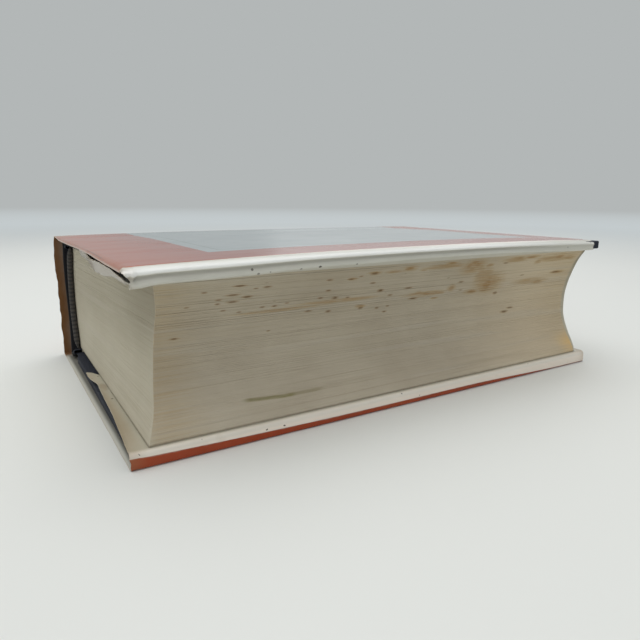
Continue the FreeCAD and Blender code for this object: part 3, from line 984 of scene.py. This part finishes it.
def cut_at(place, axis):
    """Cuts the whole mesh by a plane square to an axis, in mm."""
    normal = [0, 0, 0]
    normal[axis] = 1
    point = [0, 0, 0]
    point[axis] = place * mm
    bpy.ops.mesh.select_all(action="SELECT")
    bpy.ops.mesh.bisect(plane_co=point, plane_no=normal)


def mirror_up(piece):
    """Turns a lower-cover piece over to the upper cover."""
    mesh = piece.data
    mesh.transform(Matrix.Translation((0, 0, thickness * mm)) @ Matrix.Diagonal((1, 1, -1, 1)))
    mesh.flip_normals()
    mesh.update()


def shift_points(piece, change):
    """Moves every point, in mm, by change(x, y, z) -> (x, y, z)."""
    for vertex in piece.data.vertices:
        x, y, z = vertex.co / mm
        vertex.co = Vector(change(x, y, z)) * mm
    piece.data.update()


def make_cover_board(name, case_x, upper):
    """A stiff board, made for the lower cover and turned over for the upper."""
    half = case_half - cloth
    piece = start_box(name, (case_x - half, board_fore, board_low), (case_x + half, board_back, board_high))
    bpy.ops.object.mode_set(mode="EDIT")
    for x in (-90, -40, 10, 40, 70, 100):
        cut_at(case_x + x, 0)
    for y in (-40, 0, 30):
        cut_at(y, 1)
    bpy.ops.object.mode_set(mode="OBJECT")
    modify(piece, "BEVEL", width=0.25 * mm, segments=2, limit_method="ANGLE")
    if upper:
        mirror_up(piece)
        shift_points(piece, lambda x, y, z: (*press_out(x, y), z))
    else:
        shift_points(piece, lambda x, y, z: (slant(x, y, case_x), y, z))
    dress(piece, grey_board)
    soften(piece, 40)
    return piece


def make_cover_cloth(name, case_x, upper):
    """Cloth over a board, turned in on three sides and run down into the groove."""
    low_x, high_x = case_x - case_half, case_x + case_half
    piece = start_box(name, (low_x, board_fore - cloth, paper), (high_x, board_back + cloth, cover_inner))
    bpy.ops.object.mode_set(mode="EDIT")
    bpy.ops.mesh.select_all(action="SELECT")
    bpy.ops.object.mode_set(mode="OBJECT")
    modify(piece, "BEVEL", width=0.75 * mm, segments=4, limit_method="ANGLE", profile=0.6)
    bpy.ops.object.mode_set(mode="EDIT")
    window_low = board_fore - cloth + turn_in
    for place, axis in ((window_low, 1), (board_back, 1), (board_high, 2),
                        (low_x + turn_in, 0), (high_x - turn_in, 0), (case_x - 60, 0), (case_x, 0),
                        (case_x + 60, 0), (low_x + 4, 0), (high_x - 4, 0), (case_x + 90, 0), (case_x + 30, 0),
                        (-50, 1), (-30, 1), (0, 1), (30, 1)):
        cut_at(place, axis)
    # Inside, the cloth is open over the board's middle and beyond its back edge
    pick_faces(piece, lambda c, n: n.z > 0.5 and c.z > 4.0 and (
        (window_low < c.y < board_back and low_x + turn_in < c.x < high_x - turn_in) or c.y > board_back))
    bpy.ops.mesh.delete(type="FACE")
    pick_faces(piece, lambda c, n: c.y > board_back and c.z > board_high)
    bpy.ops.mesh.delete(type="FACE")
    bpy.ops.object.mode_set(mode="OBJECT")
    for item in piece.data.vertices:
        item.select = False
    for item in piece.data.edges:
        ends = [piece.data.vertices[v].co / mm for v in item.vertices]
        item.select = all(abs(e.z - board_high) < 0.01 and e.y > board_back + 0.05 for e in ends)
    for item in piece.data.polygons:
        item.select = False
    bpy.ops.object.mode_set(mode="EDIT")
    bpy.ops.mesh.select_mode(type="EDGE")
    steps = 10
    back_reach = (hinge_y - board_back - cloth) / steps
    for _ in range(steps):
        bpy.ops.mesh.extrude_region_move(TRANSFORM_OT_translate={"value": (0, back_reach * mm, 0)})
    bpy.ops.mesh.select_all(action="SELECT")
    bpy.ops.mesh.remove_doubles(threshold=0.005 * mm)
    bpy.ops.object.mode_set(mode="OBJECT")
    modify(piece, "SOLIDIFY", thickness=cloth * mm, offset=-1.0, use_even_offset=True)
    shift_points(piece, lambda x, y, z: (x, min(y, hinge_y), z))
    if upper:
        mirror_up(piece)
        shift_points(piece, lambda x, y, z: (*press_out(x, y), z))
    else:
        shift_points(piece, lambda x, y, z: (slant(x, y, case_x), y, z))
    dress(piece, book_cloth)
    soften(piece, 40)
    return piece


def make_pastedown(name, case_x, upper):
    """Endpaper glued inside a cover: it shows the steps of the cloth turned in beneath it."""
    margin = 3
    tail_margin = margin if upper else 5.5
    low_x, high_x = case_x - case_half + tail_margin, case_x + case_half - margin
    low_y = board_fore - cloth + margin
    joint_y = 53.5
    columns, rows_main, rows_joint = 96, 56, 12
    rows = rows_main + rows_joint
    reach = turn_in - margin

    def near_ends(count, n, low, high):
        """Spacing that is finer near both ends."""
        t = n / (count - 1)
        t = 0.65 * (t - math.sin(2 * math.pi * t) / (2 * math.pi)) + 0.35 * t
        return low + (high - low) * t

    def place(i, j):
        x = near_ends(columns, i, low_x, high_x)
        if j < rows_main:
            y = near_ends(rows_main, j, low_y, joint_y)
        else:
            y = joint_y + (hinge_y - joint_y) * (j - rows_main + 1) / rows_joint
        from_edge = min(x - low_x, high_x - x, y - low_y)
        on_turn_in = smooth(reach + 0.7, reach - 0.1, from_edge)
        in_groove = smooth(board_back - 0.2, board_back + 0.6, y)
        height = 4.0 + 0.45 * max(on_turn_in, in_groove) + 0.03 * wander(x * 0.05, y * 0.05, 6.0)
        if upper:
            x, y = press_out(x, y)
        else:
            x = slant(x, y, case_x)
        return x, y, height, x, y
    piece = lay_sheet(name, columns, rows, place, facing(2, 1, lambda c: True))
    modify(piece, "SOLIDIFY", thickness=0.19 * mm, offset=-1.0)
    if upper:
        mirror_up(piece)
    dress(piece, endpaper)
    soften(piece, 40)
    return piece


def join_cover(piece, upper):
    """Applies a sheet's object place to its mesh, the same for both covers."""
    if upper:
        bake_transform(piece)
    else:
        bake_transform(piece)


for side, case_x, upper in (("lower", lower_case_x, False), ("upper", upper_case_x, True)):
    node = "front" if upper else "back"
    board = make_cover_board(side + "_board", case_x, upper)
    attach(board, node + "_cover")
    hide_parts(node + "_board")
    wrap = make_cover_cloth(side + "_cloth", case_x, upper)
    join_cover(wrap, upper)
    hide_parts(node + "_cloth")
    pasted = make_pastedown(side + "_pastedown", case_x, upper)
    join_cover(pasted, upper)
    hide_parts(node + "_pastedown")


# Spine of the case

shell_y, shell_z, shell_radius = circle_through((70.95, 1.2), (77.1, 32.75), (70.95, 64.3))


def spine_outline():
    """Outer line of the case spine across the book, with inward directions and running length."""
    groove = [(hinge_y, 3.8), (62.5, 3.8), (63.1, 3.65), (64.4, 2.5), (65.6, 1.4), (66.4, 1.2), (68.6, 1.2),
              (70.4, 1.2)]
    low_angle = math.asin((1.9 - shell_z) / shell_radius)
    angles = [low_angle * (1 - n / 16) for n in range(33)]
    shell = [(shell_y + shell_radius * math.cos(a), shell_z + shell_radius * math.sin(a)) for a in angles]
    points = groove + shell + [(y, thickness - z) for y, z in reversed(groove)]
    points = np.array(points)
    tangent = np.gradient(points, axis=0)
    tangent /= np.hypot(*tangent.T)[:, None]
    inward = np.stack((-tangent[:, 1], tangent[:, 0]), 1)
    run = np.concatenate(([0], np.cumsum(np.hypot(*np.diff(points, axis=0).T))))
    return points, inward, run


outline, inward, outline_run = spine_outline()


def spine_ends(z):
    """X of the two ends of the case spine at a height: they lean, and are worn a little hollow."""
    share = min(max(z / thickness, 0), 1)
    tail_hollow = 1.05 + 1.0 * math.sin(math.pi * share)
    low = -119.75 + 2.0 * share + tail_hollow * smooth(66, 0, z)
    high = 118.65 + 2.5 * share - 0.5 * math.sin(math.pi * share)
    return low, high


def spine_sheet(name, stations, outward):
    """A sheet along the outline, turned in at both ends but not in the grooves.

    Each station is (where, distance, depth): the distance in mm from the tail or the head end, or the share
    of the way between them, and the depth in mm under the outer face.
    """
    def place(i, j):
        where, distance, depth = stations[i]
        y, z = outline[j]
        low, high = spine_ends(z)
        x = {"tail": low + distance, "head": high - distance, "between": low + (high - low) * distance}[where]
        in_groove = abs(z - thickness / 2) >= 31.6
        if in_groove and depth >= 0.6:
            depth = 0.5
        return (x, y + inward[j][0] * depth, z + inward[j][1] * depth, x, outline_run[j])
    return lay_sheet(name, len(stations), len(outline), place, outward)


# The cloth turned in at an end, from inside to outside: distance from the end and depth under the outer face
turned_end = ((15, 2.2), (9, 2.2), (4, 2.2), (1.2, 2.2), (0.5, 2.1), (0.12, 1.8), (0, 1.2), (0.1, 0.6),
              (0.4, 0.15), (1.0, 0.0), (3.0, 0.0))
cloth_stations = ([("tail", *turn) for turn in turned_end]
                  + [("between", share, 0.0) for share in np.linspace(0.04, 0.96, 24)]
                  + [("head", *turn) for turn in reversed(turned_end)])
case_spine = spine_sheet("case_spine_cloth", cloth_stations, facing(1, 1, lambda c: c.y > 76.9))
modify(case_spine, "SOLIDIFY", thickness=0.35 * mm, offset=-1.0, use_even_offset=False)
dress(case_spine, book_cloth)
soften(case_spine, 50)
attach(case_spine, "pages_and_spine")
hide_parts("spine_cloth")

card_columns, card_rows = 30, 33


def card_place(i, j):
    angle = math.asin((2.4 - shell_z) / shell_radius) * (1 - j / ((card_rows - 1) / 2))
    z = shell_z + shell_radius * math.sin(angle)
    low, high = spine_ends(z)
    x = low + 0.6 + (high - low - 1.2) * i / (card_columns - 1)
    radius = shell_radius - 0.42
    return x, shell_y + radius * math.cos(angle), shell_z + radius * math.sin(angle), x, z


card = lay_sheet("case_spine_card", card_columns, card_rows, card_place, facing(1, 1, lambda c: True))
modify(card, "SOLIDIFY", thickness=1.3 * mm, offset=-1.0)
dress(card, brown_card)
soften(card, 40)
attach(card, "pages_and_spine")
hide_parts("spine_card")


# Jacket

jacket_end = 120.0
lower_jacket_x = -1.15
upper_jacket_x = 0.45
upper_board_tail = -116.9
tail_overhang = 2.65


crown = 1.75
crown_drop = 1.13
crown_reach = 121.5


def bow(x, y=-80.0):
    """How high the loose jacket stands over the upper board; low by the spine, where the open cover lies."""
    near_spine = smooth(15, 58, y)
    peak = -25.0 * near_spine
    reach = crown_reach + (peak if x < peak else -peak)
    return (crown - crown_drop * near_spine) * (1 - min(1.0, abs(x - peak) / reach) ** 2.4)


def jacket_columns(count):
    """Shares along the book, closer together near the tail and the head."""
    t = np.linspace(0, 1, count)
    return 0.74 * (t - np.sin(2 * np.pi * t) / (2 * np.pi)) + 0.26 * t


# Cross sections of the two folds at the fore-edge: y, and the height from the cover's outer face, in mm
fold_start = -76.2
upper_flap_start = -76.6
lower_flap_start = -76.0
flap_top = 60.5
upper_flap_length = 236
upper_fold_height = 5.6
upper_fold_length = 9.96
upper_fold_shape = ((fold_start, 0.0), (-77.6, 0.4), (-78.7, 1.0), (-79.35, 1.65), (-79.3, 2.1),
                    (-78.9, 2.45), (-78.5, 2.85), (-78.45, 3.15), (-78.7, 3.75), (-79.0, 4.45), (-78.95, 5.0),
                    (-78.4, 5.45), (upper_flap_start, 5.6))
lip_rise = through(((-117, -1.0), (-100, -1.0), (-76, -0.7), (-57, 0.0), (-30, 0.15), (0, 0.45), (30, 0.5),
                    (55, 0.45), (90, 0.1), (116, 0.0)))
lower_fold_height = 5.9
lower_fold_length = 9.74
lower_fold_shape = ((fold_start, 0.0), (-77.9, 0.02), (-78.35, 0.12), (-78.53, 0.45), (-78.58, 1.0),
                    (-78.57, 2.4), (-78.52, 3.9), (-78.3, 4.95), (-77.8, 5.6), (-77.0, 5.9),
                    (lower_flap_start, 5.9))
fold_end = through(((0, -119.55), (1.5, -119.2), (2.6, -118.2), (3.4, -117.7), (5.6, -117.5)))
# The upper flap's margin at the tail, bent up: its height, the height of its foot and its X, by Y
margin_height = through(((-78, 0.2), (-72, 1.6), (-66, 2.0), (-58, 2.6), (-48, 4.2), (-42, 5.0), (-30, 5.2),
                         (-20, 5.0), (-12, 4.4), (0, 3.8), (15, 3.4)))
margin_foot = through(((-78.7, 59.6), (-67.9, 59.9), (-57.3, 60.1), (-43.2, 58.6), (-27.5, 58.0),
                       (-18.9, 58.0), (-12, 58.9), (-4, 60.0), (4, 60.4), (15, 60.5)))
margin_x = through(((-78, -117.7), (-60, -118.0), (-30, -118.0), (-18, -117.7), (-8, -117.4), (15, -117.2)))
# The upper sheet's tail edge stands out at the spine and hangs a little towards the fore-edge
edge_drop = through(((-77, 0.95), (-62, 0.8), (-45, 0.65), (-36, 0.45), (-25, 0.2), (0, 0.25), (20, 0.4),
                     (41, 0.3), (60, 0.1), (79, 0.0)))

fold_rows = 30
top_rows = np.concatenate((np.linspace(78.65, 62.5, 6), np.linspace(hinge_y, blend_start_y, 10),
                           np.linspace(52, -70, 40), (-72.4, -74.0, -75.2)))
flap_rows = 34
jacket_column_count = 150
column_share = jacket_columns(jacket_column_count)


def crumple(x, y, z, seed):
    """Small creases of worn paper."""
    return Vector((wander(x * 0.6 + y * 0.3, z * 0.7 + y * 0.4, seed),
                   wander(y * 0.7, z * 0.6 + x * 0.5, seed + 5),
                   wander(x * 0.7, y * 0.5 + z * 0.5, seed + 9)))


def upper_jacket_place(i, j):
    share = column_share[i]
    low_x, high_x = upper_jacket_x - jacket_end, upper_jacket_x + jacket_end
    head_tear = 115.8 + 0.5 * wander(j * 0.45, 2.0, 3.0)
    tail_jag = 0.25 * wander(j * 0.33, 5.0, 1.0)
    if j < len(top_rows):
        y = float(top_rows[j])
        high = high_x - (high_x - head_tear) * smooth(-69.0, -73.0, y)
        u = low_x + tail_jag * 0.4 + (high - low_x) * share
        x = u - 1.3 * smooth(5, 55, y) * smooth(-100, -118, u)
        z = thickness + bow(x, y)
        z += 0.10 * wander(x * 0.018, y * 0.03, 2.0) * smooth(118, 100, abs(x))
        z -= 0.18 * math.exp(-((y - 58.5) / 3.0) ** 2)
        past_board = max(0.0, upper_board_tail - u) / tail_overhang
        z -= edge_drop(y) * past_board ** 1.4
        z -= 0.8 * smooth(-118.9, -119.5, u) * smooth(79, 60, y)
        v = thickness + (spine_y - y)
        if y > 78:
            z -= 0.03
        return x, y, z, u, v
    j -= len(top_rows)
    if j < fold_rows:
        share_fold = j / (fold_rows - 1)
        y, drop = fold_line(upper_fold_shape, share_fold)
        low = fold_end(drop)
        x = low + (head_tear - low) * share
        top = thickness + bow(x)
        foot = flap_top - 0.9 * smooth(-108, -117, x) * smooth(-77.0, -78.4, y)
        lip = 0.45 * bow(x) + lip_rise(x)
        if share_fold > 0.8:
            lip *= smooth(-76.6, -78.4, y)
        z = top - (top - foot - lip) * drop / upper_fold_height
        y -= 0.65 * math.exp(-((drop - 3.0) / 0.9) ** 2) * smooth(50, 105, x)
        z -= 0.8 * smooth(-118.9, -119.5, x) * smooth(2.5, 0.0, drop)
        puff = 0.16 * wander(x * 0.045, share_fold * 2.0, 7.0) + 0.06 * wander(x * 0.2, share_fold * 3.0, 8.0)
        y += puff * math.sin(math.pi * min(1, share_fold * 1.05))
        torn = smooth(-111.5, -118.5, x) + 0.35 * smooth(110.0, 115.5, x)
        push = crumple(x, y, z, 2.0) * (1.35 * torn * math.sin(math.pi * share_fold) ** 0.5)
        ridge = smooth(0.2, 1.0, drop) * smooth(4.4, 3.0, drop) * math.exp(-((x + 116.6) / 0.55) ** 2)
        x += tail_jag * 2.0 * smooth(-112, -119, x) + push.x * 0.5
        y += push.y * 0.6 - 0.9 * ridge
        z += push.z * 0.45
        y = max(y, -80.2)
        v = thickness + (spine_y - fold_start) + share_fold * upper_fold_length
        return x, y, z, x, v
    j -= fold_rows - 1
    t = j / flap_rows
    free_edge = 14.4 + 0.25 * wander(share * 14, 3.0, 5.0)
    y = upper_flap_start + (free_edge - upper_flap_start) * t
    # The margin beyond the pages hangs, and its edge is bent up in front of the board
    standing = margin_height(y) * (1 + 0.12 * wander(y * 0.3, 2.0, 24.0))
    foot = margin_foot(y)
    bend_x = margin_x(y)
    high = high_x - (high_x - head_tear) * smooth(-69.0, -73.0, y) - 0.02 * max(0, y + 60)
    along = share * upper_flap_length
    v = thickness + (spine_y - fold_start) + upper_fold_length + (y - upper_flap_start)
    if along < standing:
        up = standing - along
        return bend_x - 0.22 * up, y, foot + 0.97 * up, bend_x - up, v
    x = bend_x + (high - bend_x) * (along - standing) / (upper_flap_length - standing)
    past_pages = max(0.0, min(1.0, (-111.5 - x) / (-111.5 - bend_x)))
    z = flap_top - (flap_top - foot) * past_pages ** 1.2
    return x, y, z, x, v


# X of the lower flap's tail end, by Y
flap_tail = through(((-77, -121.3), (-71, -120.9), (-64, -120.4), (-57.7, -120.05), (-50, -119.55),
                     (-42.6, -119.1), (-34.7, -118.8), (-28.7, -118.6), (-19.8, -118.3), (-8.2, -117.85),
                     (0.6, -117.7), (5.2, -118.9), (10.4, -119.3), (17, -119.2)))


def lower_jacket_place(i, j):
    share = column_share[i]
    low_x, high_x = lower_jacket_x - jacket_end, lower_jacket_x + jacket_end
    tail_jag = 0.25 * wander(j * 0.33, 8.0, 1.0)
    if j < len(top_rows):
        y = float(top_rows[j])
        x = low_x + tail_jag * 0.4 + (high_x - low_x) * share
        return x, y, 0.0, x, -(spine_y - y)
    j -= len(top_rows)
    if j < fold_rows:
        share_fold = j / (fold_rows - 1)
        x = low_x + (high_x - low_x) * share
        y, z = fold_line(lower_fold_shape, share_fold)
        rise = z / lower_fold_height
        y += (0.05 * wander(x * 0.05, share_fold * 2, 17.0)) * math.sin(math.pi * share_fold)
        worn = smooth(-116.5, -121, x) + 0.6 * smooth(114.5, 118.9, x)
        push = crumple(x, y, z, 12.0) * (0.7 * worn * math.sin(math.pi * share_fold) ** 0.6)
        x += push.x * 0.5
        y += max(-0.3, push.y * 0.35) + 0.35 * worn * rise ** 3
        z = max(0.0, z + push.z * 0.3 + 0.35 * smooth(-114, -121, x) * (1 - rise) * share_fold)
        v = -(spine_y - fold_start) - share_fold * lower_fold_length
        return x, y, z, x, v
    j -= fold_rows - 1
    t = j / flap_rows
    torn_tongue = 11.6 * math.exp(-((share * 2 * jacket_end) / 6.0) ** 2)
    free_edge = 5.4 + torn_tongue + 0.5 * wander(share * 60, 3.0, 15.0) * math.exp(-share * 12)
    y = lower_flap_start + (free_edge - lower_flap_start) * t
    tail = flap_tail(y)
    high = high_x - 0.035 * max(0, y + 66) + 0.1 * wander(y * 0.4, 2.0, 14.0)
    x = tail + 0.12 * wander(y * 0.5, 1.0, 14.0) + (high - tail) * share
    past_pages = max(0.0, min(1.0, (-114.2 - x) / 5.0))
    z = lower_fold_height + 0.35 * past_pages * wander(y * 0.09, x * 0.2, 11.0)
    curl = smooth(0.0, 14.0, y) * past_pages
    z += 0.35 * curl + 0.4 * curl * wander(y * 0.5, x * 0.4, 21.0)
    z += 0.30 * math.exp(-((x - tail) / 0.6) ** 2) * smooth(4, -6, y)
    v = -(spine_y - fold_start) - lower_fold_length - (y - lower_flap_start)
    return x, y, z, x, v


def thicken_jacket(piece):
    """Gives the jacket its paper: printed outside, plain inside and at the cut edges."""
    dress(piece, jacket_print, jacket_inside, paper_cut)
    modify(piece, "SOLIDIFY", thickness=(paper - 0.02) * mm, offset=-1.0, use_even_offset=False,
           material_offset=1, material_offset_rim=2)
    # The cuts where a cover's sheet meets the spine's are no real edges
    for face in piece.data.polygons:
        if face.material_index == 2 and 78.3 < face.center.y / mm < 78.9 and abs(face.normal.y) > 0.7:
            face.material_index = 0
    soften(piece, 60)


def make_jacket_cover(name, place, upper):
    rows = len(top_rows) + fold_rows + flap_rows
    side = 1 if upper else -1
    piece = lay_sheet(name, jacket_column_count, rows, place,
                      facing(2, side, lambda c: abs(c.z - (thickness if upper else 0)) < 3 and c.y > -60))
    thicken_jacket(piece)
    return piece


upper_jacket = make_jacket_cover("upper_jacket", upper_jacket_place, True)
join_cover(upper_jacket, True)
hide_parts("jacket_front")
lower_jacket = make_jacket_cover("lower_jacket", lower_jacket_place, False)
join_cover(lower_jacket, False)
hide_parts("jacket_back")

spine_rows = 44
# How far the spine sheet's tail end stands out, by height
spine_lean = through(((0, 0.0), (15, -0.4), (25, -0.7), (35, -0.9), (42, -1.3), (50, -1.6), (58, -1.7),
                      (65, -1.3)))


def spine_jacket_place(i, j):
    share = column_share[i]
    turn_rows = 6
    lean_low, lean_high = lower_jacket_x - jacket_end, upper_jacket_x - jacket_end
    out_at_tail = smooth(-100, -118, lean_low + 2 * jacket_end * share)
    corner = 0.8
    span = spine_rows - 2 * turn_rows
    # The height of the top and the lean depend on each other, so the place is worked out twice
    x = 0.0
    for _ in range(2):
        top = thickness + bow(x, spine_y)
        if j < turn_rows:
            angle = math.pi / 2 * j / turn_rows
            y, z = spine_y - corner + corner * math.sin(angle), corner - corner * math.cos(angle)
        elif j >= spine_rows - turn_rows:
            angle = math.pi / 2 * (spine_rows - 1 - j) / (turn_rows - 1)
            y, z = spine_y - corner + corner * math.sin(angle), top - corner + corner * math.cos(angle)
        else:
            t = (j - turn_rows) / span
            y, z = spine_y, corner + (top - 2 * corner) * t
        lean = lean_low + (lean_high - lean_low) * z / thickness
        x = lean + 2 * jacket_end * share + spine_lean(z) * out_at_tail
    jag = 0.5 * wander(z * 0.16, 4.0, 30.0) * smooth(-117, -121, x)
    x += jag + 0.35 * wander(z * 0.7, 4.0, 31.0) * smooth(-119.5, -121, x)
    dent = 0.12 * (1 + wander(x * 0.02, z * 0.05, 33.0))
    y -= dent * smooth(0, 8, z) * smooth(thickness, 57, z)
    if j == spine_rows - 1:
        z -= 0.03
    return x, y, z, x, z * thickness / top


spine_jacket = lay_sheet("spine_jacket", jacket_column_count, spine_rows, spine_jacket_place,
                         facing(1, 1, lambda c: c.y > 79))
thicken_jacket(spine_jacket)
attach(spine_jacket, "pages_and_spine")
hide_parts("jacket_spine")


# The glued back keeps its solids, with their own finishes

for node, material in (("spine_mull", gauze), ("spine_lining_paper", kraft)):
    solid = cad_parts[node]
    solid.data.materials.clear()
    solid.data.materials.append(material)


# Floor, world and lamps

backdrop_colour = colour(179, 183, 183)


def make_floor():
    """A wide pale floor that fades into the backdrop far from the book."""
    clear_selection()
    bpy.ops.mesh.primitive_circle_add(vertices=96, radius=6.0, fill_type="NGON", location=(0, 0, -0.0002))
    floor = bpy.context.object
    floor.name = "floor"
    settle(floor)
    f = Finish("pale_floor", roughness=0.7, specular=0.2)
    place = f.place()
    cloudy = f.noise(place, 2.5, 2.0, 0.5)
    f.set(Base_Color=f.mix(cloudy, colour(222, 223, 218), colour(227, 228, 223)))
    x, y, z = f.axes(place)
    distance = (x * x + y * y) ** 0.5
    far = distance.rise(0.36, 1.8)
    haze = f.mix(distance.rise(1.4, 5.0), colour(196, 203, 205), backdrop_colour)
    glow = f.add("ShaderNodeEmission", {}, {"Color": haze, "Strength": 1.0})
    blend = f.add("ShaderNodeMixShader", {}, {0: far, 1: Level(f, f.shader.outputs[0]), 2: glow})
    f.tree.links.new(blend.socket, f.tree.nodes["Material Output"].inputs["Surface"])
    dress(floor, f.material)


make_floor()


def make_world():
    """Soft even light, and a plain backdrop for what the camera, gloss and clear things see of it."""
    world = bpy.data.worlds.new("studio")
    bpy.context.scene.world = world
    world.use_nodes = True
    world.node_tree.nodes.clear()
    w = Nodes(world.node_tree)
    light = w.add("ShaderNodeBackground", {}, {"Color": colour(236, 240, 244), "Strength": 0.46})
    backdrop = w.add("ShaderNodeBackground", {}, {"Color": backdrop_colour, "Strength": 1.0})
    camera_ray, glossy_ray, transmission_ray = w.outputs(
        "ShaderNodeLightPath", ("Is Camera Ray", "Is Glossy Ray", "Is Transmission Ray"))
    sees_backdrop = camera_ray.most(glossy_ray).most(transmission_ray)
    surface = w.add("ShaderNodeMixShader", {}, {0: sees_backdrop, 1: light, 2: backdrop})
    w.add("ShaderNodeOutputWorld", {}, {"Surface": surface}, output=None)


make_world()


def add_lamp(name, place, target, size, power):
    """A soft rectangular lamp that points at its target."""
    data = bpy.data.lights.new(name, "AREA")
    data.shape = "RECTANGLE"
    data.size, data.size_y = size
    data.energy = power
    lamp = bpy.data.objects.new(name, data)
    bpy.context.scene.collection.objects.link(lamp)
    lamp.location = place
    lamp.rotation_mode = "QUATERNION"
    lamp.rotation_quaternion = (Vector(target) - Vector(place)).to_track_quat("-Z", "Y")


add_lamp("overhead", (-0.15, 0.15, 1.15), (0, 0, 0), (1.6, 1.4), 11.5)
add_lamp("front_left", (-0.9, -0.9, 0.7), (0, 0, 0.03), (1.0, 0.8), 2.3)
add_lamp("behind_right", (0.9, 0.9, 0.7), (0, 0, 0.03), (1.0, 0.8), 2.3)

bpy.context.scene.view_settings.view_transform = "Standard"
